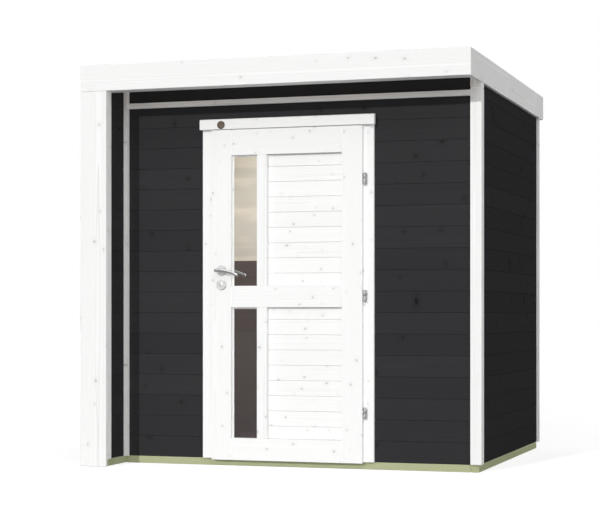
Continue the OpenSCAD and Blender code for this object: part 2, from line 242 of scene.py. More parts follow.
def solids(node):
    """The separate solids of a CAD node in order of place, welded, each flat face whole."""
    whole = bmesh.new()
    whole.from_mesh(frame["nodes"][node].data)
    bmesh.ops.remove_doubles(whole, verts=whole.verts, dist=WELD)
    whole.verts.index_update()
    group = {}
    count = 0
    for start in whole.verts:
        if start.index in group:
            continue
        waiting = [start]
        group[start.index] = count
        while waiting:
            for edge in waiting.pop().link_edges:
                for v in edge.verts:
                    if v.index not in group:
                        group[v.index] = count
                        waiting.append(v)
        count += 1
    found = [bmesh.new() for _ in range(count)]
    copies = {v.index: found[group[v.index]].verts.new(v.co) for v in whole.verts}
    for face in whole.faces:
        found[group[face.verts[0].index]].faces.new([copies[v.index] for v in face.verts])
    whole.free()
    for solid in found:
        bmesh.ops.recalc_face_normals(solid, faces=solid.faces)
        bmesh.ops.dissolve_limit(solid, angle_limit=SAME_PLANE, verts=solid.verts, edges=solid.edges)
    return sorted(found, key=lambda solid: [round(c, 3) for c in span(solid)[0]])


def smooth_curves(solid):
    """Shades only the faces that lie askew as smooth: eased edges and curves."""
    for face in solid.faces:
        face.smooth = max(abs(c) for c in face.normal) < STRAIGHT


def ease(solid, width):
    """Rounds the long outer edges of a timber."""
    square = [
        e for e in solid.edges
        if len(e.link_faces) == 2 and e.calc_face_angle_signed() > SQUARE and e.calc_length() > LONG_EDGE
    ]
    bmesh.ops.bevel(
        solid, geom=square, offset=width, segments=EDGE_STEPS, profile=EDGE_ROUNDNESS,
        affect="EDGES", clamp_overlap=True,
    )
    smooth_curves(solid)


def sawn_apart(solid, axis, cuts):
    """The pieces of a timber that is cut square at places along an axis."""
    if not cuts:
        return [solid]
    way = Vector([float(i == axis) for i in range(3)])
    pieces = []
    for start, stop in zip((None,) + cuts, cuts + (None,)):
        piece = solid.copy()
        for place, out in ((start, -1.0), (stop, 1.0)):
            if place is None:
                continue
            everything = piece.verts[:] + piece.edges[:] + piece.faces[:]
            cut = bmesh.ops.bisect_plane(
                piece, geom=everything, plane_co=way * place, plane_no=way * out, clear_outer=True,
            )
            rim = [part for part in cut["geom_cut"] if isinstance(part, bmesh.types.BMEdge)]
            bmesh.ops.holes_fill(piece, edges=rim)
        bmesh.ops.recalc_face_normals(piece, faces=piece.faces)
        pieces.append(piece)
    solid.free()
    return pieces


def ease_ends(solid, axis, width):
    """Chamfers the arrises at both ends of a timber, so that a joint shows as a fine line."""
    low, high = span(solid)
    for place in (low[axis], high[axis]):
        rim = [
            e for e in solid.edges
            if all(abs(v.co[axis] - place) < SAME for v in e.verts) and e.calc_face_angle_signed(0) > SQUARE
        ]
        bmesh.ops.bevel(solid, geom=rim, offset=width, segments=1, affect="EDGES", clamp_overlap=True)


def bar(outline, run, place, inside_from=math.inf):
    """A bar along run with an outline of (rise, depth) points; past inside_from it has the second finish."""
    solid = bmesh.new()
    ends = [[solid.verts.new(place(r, *point)) for point in outline] for r in run]
    for i in range(len(outline)):
        j = (i + 1) % len(outline)
        side = solid.faces.new((ends[0][i], ends[0][j], ends[1][j], ends[1][i]))
        side.material_index = int((outline[i][1] + outline[j][1]) / 2 > inside_from)
    for end in ends:
        solid.faces.new(end)
    bmesh.ops.recalc_face_normals(solid, faces=solid.faces)
    return solid


def board_outline(low, high, thick, seam, lower=True, upper=True):
    """Section of a tongued board: a V and a shadow gap on its show face, a small V behind."""
    half = seam["gap"] / 2
    vee = seam["vee"]
    back = seam["back"]
    deep = vee + seam["deep"]
    top = [(high, 0), (high, thick)]
    if upper:
        top = [
            (high - half - vee, 0), (high - half, vee), (high - half, deep),
            (high, deep), (high, thick - back), (high - back, thick),
        ]
    bottom = [(low, thick), (low, 0)]
    if lower:
        bottom = [
            (low + back, thick), (low, thick - back), (low, deep),
            (low + half, deep), (low + half, vee), (low + half + vee, 0),
        ]
    return top + bottom


def courses(low, high, pitch, first):
    """Lower and upper edges of the boards between two heights, with seams every pitch from the first one."""
    seams = [first + i * pitch for i in range(math.ceil((high - first) / pitch))]
    edges = [low] + [s for s in seams if low + NEAR < s < high - NEAR] + [high]
    return list(zip(edges, edges[1:]))


def boards(work, rows, run, thick, seam, place, inside_from=math.inf):
    """A wall, floor or panel of boards."""
    for low, high in rows:
        work.add(bar(board_outline(low, high, thick, seam), run, place, inside_from))


def soften(outline, radius, steps=3):
    """The same outline with its inner corners rounded."""
    made = [tuple(outline[0])]
    for before, corner, after in zip(outline, outline[1:], outline[2:]):
        corner = Vector(corner)
        back = Vector(before) - corner
        on = Vector(after) - corner
        start = corner + back.normalized() * min(radius, back.length / 2)
        stop = corner + on.normalized() * min(radius, on.length / 2)
        for k in range(steps + 1):
            t = k / steps
            made.append(tuple((1 - t) ** 2 * start + 2 * t * (1 - t) * corner + t * t * stop))
    made.append(tuple(outline[-1]))
    return made


def turned(outline, place, closed=False):
    """A turned solid with an outline of (radius, height) points, which place sets in the shed."""
    solid = bmesh.new()
    rings = []
    for radius, height in outline:
        count = TURN_SIDES if radius > 0 else 1
        turns = [2 * math.pi * i / count for i in range(count)]
        spots = [(radius * math.cos(t), radius * math.sin(t)) for t in turns]
        rings.append([solid.verts.new(place(a, b, height)) for a, b in spots])
    pairs = list(zip(rings, rings[1:]))
    if closed:
        pairs.append((rings[-1], rings[0]))
    for one, two in pairs:
        for i in range(TURN_SIDES):
            j = i + 1
            corners = [one[i % len(one)], one[j % len(one)], two[j % len(two)], two[i % len(two)]]
            solid.faces.new(list(dict.fromkeys(corners)))
    bmesh.ops.recalc_face_normals(solid, faces=solid.faces)
    smooth_curves(solid)
    return solid


def put(tree, kind, inputs=None, **settings):
    """Adds a shader node; an input is a plain value or the output that feeds it."""
    made = tree.nodes.new("ShaderNode" + kind)
    for name, value in settings.items():
        setattr(made, name, value)
    for key, value in (inputs or {}).items():
        if isinstance(value, bpy.types.NodeSocket):
            tree.links.new(value, made.inputs[key])
        else:
            made.inputs[key].default_value = value
    return made


def calc(tree, operation, *values, clamp=False):
    """The result of one sum."""
    return put(tree, "Math", dict(enumerate(values)), operation=operation, use_clamp=clamp).outputs[0]


def stretch(tree, vector, scale):
    """A vector with its parts scaled."""
    return put(tree, "VectorMath", {0: vector, 1: scale}, operation="MULTIPLY").outputs[0]


def ramp(tree, value, start, stop, low=0.0, high=1.0):
    """A soft step from low to high as the value goes from start to stop."""
    inputs = {"Value": value, "From Min": start, "From Max": stop, "To Min": low, "To Max": high}
    return put(tree, "MapRange", inputs, interpolation_type="SMOOTHSTEP").outputs[0]


def mix(tree, share, one, two):
    """A colour between two."""
    return put(tree, "Mix", {0: share, 6: one, 7: two}, data_type="RGBA").outputs[2]


def noise(tree, vector, scale, detail=2.0):
    """A value that wanders between 0 and 1."""
    inputs = {"Vector": vector, "Scale": scale, "Detail": detail}
    return put(tree, "TexNoise", inputs, noise_dimensions="3D").outputs["Fac"]


def new_group(name, inputs, outputs):
    """An empty group of shader nodes with number sockets."""
    tree = bpy.data.node_groups.new(name, "ShaderNodeTree")
    for label, value in inputs.items():
        tree.interface.new_socket(label, in_out="INPUT", socket_type="NodeSocketFloat").default_value = value
    for label in outputs:
        tree.interface.new_socket(label, in_out="OUTPUT", socket_type="NodeSocketFloat")
    given = tree.nodes.new("NodeGroupInput").outputs
    result = tree.nodes.new("NodeGroupOutput").inputs
    return tree, given, result


def grain_group():
    """Growth rings round the log's heart, and fine fibres along it."""
    tree, given, result = new_group("wood_grain", {"Ring Width": 0.004, "Warp": 0.012}, ["Rings", "Fibres"])
    wood = put(tree, "Attribute", attribute_name="wood").outputs["Vector"]
    inputs = {"Vector": stretch(tree, wood, (0.8, 5.0, 5.0)), "Scale": 1.0, "Detail": 2.0}
    drift = put(tree, "TexNoise", inputs).outputs["Color"]
    drift = put(tree, "VectorMath", {0: drift, 1: (0.5, 0.5, 0.5)}, operation="SUBTRACT").outputs[0]
    drift = put(tree, "VectorMath", {0: drift, "Scale": given["Warp"]}, operation="SCALE").outputs[0]
    bent = put(tree, "VectorMath", {0: wood, 1: drift}, operation="ADD").outputs[0]
    round_heart = stretch(tree, bent, (0.0, 1.0, 1.0))
    radius = put(tree, "VectorMath", {0: round_heart}, operation="LENGTH").outputs["Value"]
    turns = calc(tree, "FRACT", calc(tree, "DIVIDE", radius, given["Ring Width"]))
    late = calc(tree, "POWER", turns, 3.0)
    tree.links.new(late, result["Rings"])
    tree.links.new(noise(tree, stretch(tree, wood, (9.0, 620.0, 620.0)), 1.0, 3.0), result["Fibres"])
    return tree


def knot_group():
    """Scattered knots: a dark core, some stretched across the board, and the swirl of grain round it."""
    sockets = {"Spacing": 0.16, "Share": 0.3, "Size": 0.009, "Softness": 0.3, "Spike": 0.35}
    tree, given, result = new_group("wood_knots", sockets, ["Core", "Swirl"])
    wood = put(tree, "Attribute", attribute_name="wood").outputs["Vector"]
    plane = stretch(tree, wood, (0.72, 1.0, 0.0))
    scale = calc(tree, "DIVIDE", 1.0, given["Spacing"])
    inputs = {"Vector": plane, "Scale": scale, "Randomness": 0.9}
    cells = put(tree, "TexVoronoi", inputs, voronoi_dimensions="2D")
    parts = put(tree, "SeparateColor", {"Color": cells.outputs["Color"]}).outputs
    centre = cells.outputs["Position"]
    offset = put(tree, "VectorMath", {0: plane, 1: centre}, operation="SUBTRACT").outputs[0]
    sides = put(tree, "SeparateXYZ", {0: offset}).outputs
    across = calc(tree, "MULTIPLY", sides["Y"], ramp(tree, parts["Green"], 0.6, 0.9, 1.0, given["Spike"]))
    narrowed = put(tree, "CombineXYZ", {"X": sides["X"], "Y": across}).outputs[0]
    distance = put(tree, "VectorMath", {0: narrowed}, operation="LENGTH").outputs["Value"]
    wobble = calc(tree, "ADD", noise(tree, wood, 90.0), 0.5)
    distance = calc(tree, "MULTIPLY", distance, wobble)
    radius = calc(tree, "MULTIPLY", given["Size"], calc(tree, "MULTIPLY_ADD", parts["Blue"], 0.6, 0.4))
    reach = calc(tree, "DIVIDE", distance, radius)
    there = calc(tree, "LESS_THAN", parts["Red"], given["Share"])
    strong = calc(tree, "MULTIPLY", there, calc(tree, "MULTIPLY_ADD", parts["Blue"], 0.7, 0.3))
    core = ramp(tree, reach, 1.0, calc(tree, "SUBTRACT", 1.0, given["Softness"]))
    tree.links.new(calc(tree, "MULTIPLY", core, strong), result["Core"])
    tree.links.new(calc(tree, "MULTIPLY", ramp(tree, reach, 3.2, 0.9), there), result["Swirl"])
    return tree


def use_group(tree, group, **values):
    """Places a group in a material with its own values; a socket's spaces are written as underscores."""
    made = tree.nodes.new("ShaderNodeGroup")
    made.node_tree = group
    for label, value in values.items():
        made.inputs[label.replace("_", " ")].default_value = value
    return made.outputs


def new_finish(name, **sockets):
    """A material with its shader; sockets are set on the shader itself."""
    finish = bpy.data.materials.new(name)
    finish.use_nodes = True
    tree = finish.node_tree
    tree.nodes.clear()
    shader = put(tree, "BsdfPrincipled")
    output = put(tree, "OutputMaterial")
    tree.links.new(shader.outputs[0], output.inputs["Surface"])
    for label, value in sockets.items():
        shader.inputs[label.replace("_", " ")].default_value = value
    return finish, tree, shader


def feed(tree, shader, colour, roughness, height, depth):
    """Joins colour, roughness and a relief of the given depth to the shader."""
    tree.links.new(colour, shader.inputs["Base Color"])
    tree.links.new(roughness, shader.inputs["Roughness"])
    bump = put(tree, "Bump", {"Height": height, "Distance": depth, "Strength": 1.0})
    tree.links.new(bump.outputs[0], shader.inputs["Normal"])


def board_shade(tree):
    """The shade of the board that a point belongs to."""
    return put(tree, "Attribute", attribute_name="shade").outputs["Fac"]


def painted(name, pale, deep, knot, knot_cover, swirl_cover, grain_cover, knots, roughness, sheen):
    """Paint over planed spruce: boards differ a little, grain and knots show through."""
    finish, tree, shader = new_finish(name, Specular_IOR_Level=sheen)
    grain = use_group(tree, GRAIN, Ring_Width=0.0045, Warp=0.015)
    spots = use_group(tree, KNOTS, **knots)
    colour = mix(tree, board_shade(tree), pale, deep)
    veins = calc(tree, "MULTIPLY", calc(tree, "MULTIPLY", grain["Rings"], grain["Fibres"]), grain_cover)
    colour = mix(tree, veins, colour, knot)
    colour = mix(tree, calc(tree, "MULTIPLY", spots["Swirl"], swirl_cover), colour, knot)
    colour = mix(tree, calc(tree, "MULTIPLY", spots["Core"], knot_cover), colour, knot)
    gloss = ramp(tree, grain["Fibres"], 0.2, 0.8, roughness - 0.06, roughness + 0.06)
    relief = calc(tree, "ADD", calc(tree, "MULTIPLY", grain["Rings"], 0.6), grain["Fibres"])
    feed(tree, shader, colour, gloss, relief, PAINT_RELIEF)
    return finish


def sawn(name, early, late, knot, knots, roughness):
    """Bare or treated timber with open grain."""
    finish, tree, shader = new_finish(name, Specular_IOR_Level=0.05)
    colour, relief = sawn_colour(tree, early, late, knot, knots)
    gloss = ramp(tree, relief, 0.0, 1.6, roughness - 0.05, roughness + 0.08)
    feed(tree, shader, colour, gloss, relief, SAWN_RELIEF)
    return finish


def sawn_colour(tree, early, late, knot, knots):
    """Colour and relief of open grain."""
    grain = use_group(tree, GRAIN, Ring_Width=0.0038, Warp=0.022)
    spots = use_group(tree, KNOTS, **knots)
    veins = calc(tree, "MULTIPLY", grain["Rings"], 0.55)
    streaks = calc(tree, "MULTIPLY", ramp(tree, grain["Fibres"], 0.35, 0.75), 0.22)
    tint = calc(tree, "MULTIPLY", board_shade(tree), 0.22)
    share = calc(tree, "ADD", calc(tree, "ADD", veins, streaks), tint, clamp=True)
    colour = mix(tree, share, early, late)
    colour = mix(tree, calc(tree, "MULTIPLY", spots["Swirl"], 0.45), colour, late)
    colour = mix(tree, calc(tree, "MULTIPLY", spots["Core"], 0.9), colour, knot)
    return colour, calc(tree, "ADD", grain["Rings"], calc(tree, "MULTIPLY", grain["Fibres"], 0.8))


def inside_finish():
    """Inside face of the walls: limed boards above a dark dado that is painted shade, for the dark inside
    seen through the lower glass.
    """
    finish, tree, shader = new_finish("inside_boards", Specular_IOR_Level=0.2)
    knots = {"Spacing": 0.22, "Share": 0.25, "Size": 0.011}
    early = (0.60, 0.575, 0.525, 1)
    late = (0.50, 0.465, 0.41, 1)
    knot = (0.24, 0.18, 0.12, 1)
    limed, relief = sawn_colour(tree, early, late, knot, knots)
    place = put(tree, "TexCoord").outputs["Object"]
    height = put(tree, "SeparateXYZ", {0: place}).outputs["Z"]
    brushed = stretch(tree, place, (2.2, 2.2, 9.0))
    cloud = ramp(tree, noise(tree, brushed, 1.0, 2.0), 0.48, 0.66, 0.0, 0.9)
    greyer = ramp(tree, height, GREYER_FROM, GREYER_TO, 0.0, 0.5)
    limed = mix(tree, greyer, limed, (0.56, 0.56, 0.50, 1))
    limed = mix(tree, cloud, limed, (0.72, 0.67, 0.59, 1))
    grain = calc(tree, "MULTIPLY", relief, 0.4, clamp=True)
    # Painted shade: below the dado's height the boards take a dark brown that stands for the dark inside, not
    # a stain.
    painted_shade_dado = mix(tree, grain, (0.078, 0.053, 0.049, 1), (0.050, 0.034, 0.031, 1))
    above = calc(tree, "GREATER_THAN", height, DADO_HEIGHT)
    gloss = ramp(tree, relief, 0.0, 1.6, 0.55, 0.7)
    feed(tree, shader, mix(tree, above, painted_shade_dado, limed), gloss, relief, INSIDE_RELIEF)
    return finish


def felt():
    """Mineral roofing felt: grey granules with worn patches."""
    finish, tree, shader = new_finish("roofing_felt")
    place = put(tree, "TexCoord").outputs["Object"]
    granules = noise(tree, place, 420.0, 4.0)
    patches = noise(tree, place, 2.3, 3.0)
    colour = mix(tree, ramp(tree, granules, 0.35, 0.68), (0.018, 0.019, 0.020, 1), (0.105, 0.108, 0.112, 1))
    colour = mix(tree, ramp(tree, patches, 0.45, 0.75, 0.0, 0.35), colour, (0.075, 0.074, 0.070, 1))
    feed(tree, shader, colour, ramp(tree, granules, 0.3, 0.7, 0.95, 0.8), granules, FELT_RELIEF)
    return finish


def metal(name, pale, deep, roughness, scale, spread):
    """Brushed or patinated metal with a fine uneven polish."""
    finish, tree, shader = new_finish(name, Metallic=1.0)
    place = put(tree, "TexCoord").outputs["Object"]
    patches = noise(tree, place, scale, 3.0)
    brushing = noise(tree, stretch(tree, place, (1.0, 1.0, 9.0)), 900.0)
    colour = mix(tree, ramp(tree, patches, 0.35, 0.65), pale, deep)
    gloss = ramp(tree, brushing, 0.25, 0.75, roughness - spread, roughness + spread)
    feed(tree, shader, colour, gloss, brushing, BRUSHED_RELIEF)
    return finish


def clear_glass():
    """Float glass with a faint smear of dust in its gloss."""
    sockets = {"Transmission_Weight": 1.0, "IOR": 1.3, "Base_Color": (0.97, 0.985, 0.975, 1)}
    finish, tree, shader = new_finish("clear_glass", **sockets)
    place = put(tree, "TexCoord").outputs["Object"]
    dust = noise(tree, place, 14.0, 4.0)
    tree.links.new(ramp(tree, dust, 0.45, 0.8, 0.0, 0.035), shader.inputs["Roughness"])
    return finish


GRAIN = grain_group()
KNOTS = knot_group()
PAINT_WHITE = {
    "pale": (0.84, 0.84, 0.835, 1), "deep": (0.82, 0.82, 0.815, 1), "knot": (0.22, 0.21, 0.20, 1),
    "roughness": 0.6, "sheen": 0.05,
}
WHITE = painted(
    "white_door_paint", **PAINT_WHITE, knot_cover=0.42, swirl_cover=0.04, grain_cover=0.15,
    knots={"Spacing": 0.088, "Share": 0.66, "Size": 0.0085, "Softness": 0.7, "Spike": 0.75},
)
TRIM_WHITE = painted(
    "white_trim_paint", **PAINT_WHITE, knot_cover=0.45, swirl_cover=0.05, grain_cover=0.45,
    knots={"Spacing": 0.125, "Share": 0.55, "Size": 0.0095, "Softness": 0.7, "Spike": 0.85},
)
ANTHRACITE = painted(
    "anthracite_paint", (0.0332, 0.0332, 0.0352, 1), (0.029, 0.029, 0.031, 1), (0.008, 0.008, 0.008, 1),
    knot_cover=0.80, swirl_cover=0.16, grain_cover=0.30,
    knots={"Spacing": 0.17, "Share": 0.52, "Size": 0.0112, "Softness": 0.6}, roughness=0.80, sheen=0.0,
)
TREATED = sawn(
    "pressure_treated_wood", (0.455, 0.48, 0.305, 1), (0.29, 0.31, 0.155, 1), (0.12, 0.10, 0.05, 1),
    knots={"Spacing": 0.22, "Share": 0.4, "Size": 0.012}, roughness=0.75,
)
BARE = sawn(
    "bare_spruce", (0.66, 0.51, 0.33, 1), (0.47, 0.31, 0.16, 1), (0.17, 0.085, 0.04, 1),
    knots={"Spacing": 0.24, "Share": 0.3, "Size": 0.013}, roughness=0.65,
)
STAINED = sawn(
    "stained_floor", (0.060, 0.043, 0.040, 1), (0.054, 0.038, 0.035, 1), (0.024, 0.016, 0.014, 1),
    knots={"Spacing": 0.24, "Share": 0.3, "Size": 0.013}, roughness=0.60,
)
INSIDE = inside_finish()
FELT = felt()
STEEL = metal(
    "brushed_steel", (0.40, 0.40, 0.395, 1), (0.33, 0.33, 0.33, 1),
    roughness=0.34, scale=60.0, spread=0.04,
)
# Painted reflection: the lever's steel is far darker than the rosettes', so that it shows the dark edges a
# dark surround would give it.
LEVER_STEEL_PAINTED_DARK = metal(
    "lever_steel_painted_dark", (0.20, 0.20, 0.198, 1), (0.17, 0.17, 0.17, 1),
    roughness=0.29, scale=60.0, spread=0.03,
)
BRONZE = metal(
    "patinated_bronze", (0.135, 0.108, 0.083, 1), (0.042, 0.034, 0.027, 1),
    roughness=0.60, scale=260.0, spread=0.08,
)
ZINC = metal(
    "zinc_plated_steel", (0.30, 0.30, 0.30, 1), (0.21, 0.21, 0.215, 1),
    roughness=0.55, scale=90.0, spread=0.06,
)
GLASS = clear_glass()


def timber(node, body, slot, finish, edge=TRIM_EDGE, along=None, cuts=(), ends=0.0):
    """The timbers of a CAD node with eased edges, sawn apart at cuts along an axis, with wider eased ends."""
    work = Work()
    for whole in solids(node):
        for solid in sawn_apart(whole, along, cuts):
            if ends:
                ease_ends(solid, along, ends)
            ease(solid, edge)
            work.add(solid)
    work.piece(node + "_timber", body, slot, [node], [finish])


def base_and_floor():
    """Treated beams and joists under stained floor boards."""
    for node in ("base_front", "base_rear", "base_sides", "base_wing"):
        timber(node, "shed", "treated_wood", TREATED, BASE_EDGE)
    timber("floor_joists", "shed", "treated_wood", TREATED, SAWN_EDGE)
    low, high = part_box("floor_boards")
    work = Work()
    rows = courses(low.y, high.y, FLOOR_BOARD, low.y)
    boards(work, rows, (low.x, high.x), high.z - low.z, FLOOR_SEAM, lambda r, s, d: (r, s, high.z - d))
    work.piece("floor_boards_laid", "shed", "stained_wood", ["floor_boards"], [STAINED])


def side_wall(node, outside, finishes):
    """A wall of boards that run front to back; outside is -1 or 1 along X."""
    low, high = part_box(node)
    face = high.x if outside > 0 else low.x
    work = Work()
    rows = courses(low.z, high.z, WALL_BOARD, low.z)
    thick = high.x - low.x

    def upright(r, s, d):
        return (face - outside * d, r, s)

    boards(work, rows, (low.y, high.y), thick, WALL_SEAM, upright, thick / 2)
    work.piece(node + "_boards", "shed", "anthracite_wood", [node], finishes)


def rear_wall():
    """Boards from corner to corner across the rear."""
    low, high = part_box("rear_wall")
    work = Work()
    rows = courses(low.z, high.z, WALL_BOARD, low.z)
    thick = high.y - low.y
    boards(work, rows, (low.x, high.x), thick, WALL_SEAM, lambda r, s, d: (r, high.y - d, s), thick / 2)
    work.piece("rear_wall_boards", "shed", "anthracite_wood", ["rear_wall"], [ANTHRACITE, INSIDE])


def front_wall():
    """Boards beside the doorway and through over it; the course that the doorway cuts into is notched."""
    low, door_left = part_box("front_wall_left")
    door_right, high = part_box("front_wall_right")
    door_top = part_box("front_wall_top")[0].z
    thick = high.y - low.y
    sides = ((low.x, door_left.x), (door_right.x, high.x))
    work = Work()

    def board(run, rise, cut, lower=True):
        outline = board_outline(*rise, thick, WALL_SEAM, lower)
        work.add(bar(outline, run, lambda r, s, d: (r, low.y + d, s), thick / 2), cut)

    for rise in courses(low.z, high.z, WALL_BOARD, low.z):
        whole = new_cut(Vector((low.x, low.y, rise[0])), Vector((high.x, high.y, rise[1])))
        if rise[0] >= door_top:
            board((low.x, high.x), rise, whole)
            continue
        notched = rise[1] > door_top
        for run in sides:
            board(run, rise, whole if notched else None)
        if notched:
            board((door_left.x, door_right.x), (door_top, rise[1]), whole, lower=False)
    nodes = ["front_wall_left", "front_wall_right", "front_wall_top"]
    work.piece("front_wall_boards", "shed", "anthracite_wood", nodes, [ANTHRACITE, INSIDE])


def walls():
    """Boarded walls, the wing's lining, and the posts behind them."""
    timber("corner_posts", "shed", "bare_wood", BARE, SAWN_EDGE)
    front_wall()
    rear_wall()
    side_wall("right_wall", 1, [ANTHRACITE, INSIDE])
    side_wall("left_wall", -1, [ANTHRACITE, INSIDE])
    side_wall("wing_lining", 1, [ANTHRACITE, BARE])
    timber("wing_posts", "shed", "bare_wood", BARE, SAWN_EDGE)


def white_trims():
    """White boards, trims and door frame; side fascias and corner trim are joined from lengths."""
    trims = (
        "wing_edge_trims", "wing_corner_trim", "corner_trims_rear", "front_batten",
        "fascia_front", "fascia_rear", "front_edge_beam",
    )
    for node in trims:
        timber(node, "shed", "white_wood", TRIM_WHITE)
    for node in ("door_jambs", "door_head", "door_sill", "door_cap"):
        timber(node, "shed", "white_wood", WHITE)
    timber("wing_front_board", "shed", "white_wood", TRIM_WHITE, along=2, ends=TRIM_JOINT)
    timber("fascia_sides", "shed", "white_wood", TRIM_WHITE, along=1, cuts=FASCIA_JOINTS, ends=TRIM_JOINT)
    timber(
        "corner_trim_front", "shed", "white_wood", TRIM_WHITE,
        along=2, cuts=CORNER_JOINTS, ends=TRIM_JOINT,
    )


def fall_of(node):
    """Underside of a sloping roof layer as a height for each depth y, and the layer's thickness."""
    low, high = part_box(node)
    points = [v.co for v in frame["nodes"][node].data.vertices]
    front = sorted(p.z for p in points if p.y < low.y + NEAR)
    rear = sorted(p.z for p in points if p.y > high.y - NEAR)
    drop = (front[0] - rear[0]) / (high.y - low.y)
    return lambda y: front[0] - drop * (y - low.y), front[-1] - front[0]


def roof():
    """Rafters and blocks at the eaves, a boarded deck, and its felt."""
    timber("rafters", "shed", "bare_wood", BARE, SAWN_EDGE)
    timber("eaves_blocks", "shed", "bare_wood", BARE, SAWN_EDGE)
    low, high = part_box("roof_deck")
    under, thick = fall_of("roof_deck")
    work = Work()
    rows = courses(low.y, high.y, ROOF_BOARD, low.y)
    boards(work, rows, (low.x, high.x), thick, ROOF_SEAM, lambda r, s, d: (r, s, under(s) + d))
    work.piece("roof_deck_boards", "shed", "bare_wood", ["roof_deck"], [BARE])
    roofing_felt()


def roofing_felt():
    """Felt in lapped widths along the eaves, turned up behind the fascias."""
    low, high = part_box("roof_membrane")
    under, thick = fall_of("roof_membrane")
    sheet = thick * FELT_SHARE
    width = (high.y - low.y) / FELT_WIDTHS
    work = Work()
    for i in range(FELT_WIDTHS):
        start = low.y + i * width
        stop = start + width
        outline = [(start, 0), (stop, 0), (stop, sheet), (start, sheet)]
        if i < FELT_WIDTHS - 1:
            outline = [
                (start, 0), (stop, 0), (stop, sheet), (stop + FELT_LAP, sheet), (stop + FELT_LAP, thick),
                (stop - LAP_CREST, thick), (stop - LAP_FOOT, sheet), (start, sheet),
            ]
        work.add(bar(outline, (low.x, high.x), lambda r, s, d: (r, s, under(s) + d)))
    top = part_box("fascia_sides")[1].z - FELT_DROP

    def along_side(r, s, d):
        return (s, r, d if d == top else under(r) + d)

    def along_front(r, s, d):
        return (r, s, d if d == top else under(s) + d)

    for x in (low.x, high.x - thick):
        side = [(x, sheet), (x + thick, sheet), (x + thick, top), (x, top)]
        work.add(bar(side, (low.y, high.y), along_side))
    front = [(low.y, sheet), (low.y + thick, sheet), (low.y + thick, top), (low.y, top)]
    work.add(bar(front, (low.x, high.x), along_front))
    work.piece("roof_felt", "shed", "roof_membrane", ["roof_membrane"], [FELT])


def door_leaf():
    """Framed leaf with boarded panels and two lights."""
    timber("door_stiles", "door", "white_wood", WHITE)
    timber("door_rails", "door", "white_wood", WHITE, along=0, ends=RAIL_JOINT)
    timber("door_mullions", "door", "white_wood", WHITE)
    work = Work()
    for panel in solids("door_panels"):
        low, high = span(panel)
        panel.free()
        first = (low.z + high.z - (PANEL_SEAMS - 1) * PANEL_BOARD) / 2
        rows = courses(low.z, high.z, PANEL_BOARD, first)
        boards(work, rows, (low.x, high.x), high.y - low.y, PANEL_SEAM, lambda r, s, d: (r, low.y + d, s))
    work.piece("door_panel_boards", "door", "white_wood", ["door_panels"], [WHITE])
    glazing()


def glazing():
    """Beads that slope to the glass on both faces: up the sides and mitred into one along the top."""
    pane = frame["nodes"]["door_glass"]
    pane.data.materials.clear()
    pane.data.materials.append(GLASS)
    glass_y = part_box("door_glass")[0].y
    work = Work()
    for bead in solids("glazing_beads"):
        low, high = span(bead)
        bead.free()
        outer, inner = (low.y, high.y) if low.y < glass_y else (high.y, low.y)
        lip = inner + math.copysign(BEAD_LIP, outer - inner)
        section = [(0, outer), (BEAD_FLAT, outer), (BEAD_WIDTH, lip), (BEAD_WIDTH, inner), (0, inner)]
        solid = bmesh.new()
        paths = []
        for inset, y in section:
            left, right = low.x + inset, high.x - inset
            corners = ((left, low.z), (left, high.z - inset), (right, high.z - inset), (right, low.z))
            paths.append([solid.verts.new((x, y, z)) for x, z in corners])
        for one, two in zip(paths, paths[1:] + paths[:1]):
            for i in range(3):
                solid.faces.new((one[i], one[i + 1], two[i + 1], two[i]))
        for foot in (0, -1):
            solid.faces.new([path[foot] for path in paths])
        bmesh.ops.recalc_face_normals(solid, faces=solid.faces)
        work.add(solid)
    work.piece("glazing_beads_mitred", "door", "white_wood", ["glazing_beads"], [WHITE])


def hinges():
    """Three drill-in hinges: the lower barrel holds the pin, the upper one turns on it."""
    fixed = Work()
    swung = Work()
    leaf_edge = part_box("door_stiles")[1].x
    frame_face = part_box("door_jambs")[0].y
    for lower, upper in zip(solids("hinge_frame_parts"), solids("hinge_leaf_parts")):
        foot = span(lower)[0].z
        low, high = span(upper)
        lower.free()
        upper.free()
        x = high.x - BARREL_RADIUS
        y = high.y - BARREL_RADIUS
        height = high.z - low.z

        def upright(a, b, h):
            return (x + a, y + b, h)

        barrel = [(0, foot), (BARREL_RADIUS, foot), (BARREL_RADIUS, foot + height), (0, foot + height)]
        fixed.add(turned(soften(barrel, BARREL_EASE), upright))
        fixed.add(turned([(0, low.z), (PIN_RADIUS, low.z), (PIN_RADIUS, high.z), (0, high.z)], upright))
        leg_z = foot + height / 2
        leg = [(0, y), (LEG_RADIUS, y), (LEG_RADIUS, frame_face), (0, frame_face)]
        fixed.add(turned(leg, lambda a, b, h: (x + a, h, leg_z + b)))
        bore = PIN_RADIUS + TURN_CLEARANCE
        sleeve = [
            (bore, low.z), (BARREL_RADIUS - SLEEVE_FOOT, low.z), (BARREL_RADIUS, low.z + SLEEVE_FOOT),
            (BARREL_RADIUS, high.z - SLEEVE_TOP), (BARREL_RADIUS - SLEEVE_TOP, high.z), (bore, high.z),
        ]
        swung.add(turned(sleeve, upright, closed=True))
        arm_z = low.z + height / 2
        arm_end = x - PIN_RADIUS - ARM_GAP
        arm = [(0, leaf_edge), (LEG_RADIUS, leaf_edge), (LEG_RADIUS, arm_end), (0, arm_end)]
        swung.add(turned(arm, lambda a, b, h: (h, y + a, arm_z + b)))
    fixed.piece("hinge_pins", "shed", "steel", ["hinge_frame_parts"], [ZINC])
    swung.piece("hinge_sleeves", "door", "steel", ["hinge_leaf_parts"], [ZINC])


def joint_place(name):
    """Where a joint's axis lies."""
    return Vector(next(j["pos_m"] for j in frame["joints"] if j["name"] == name))


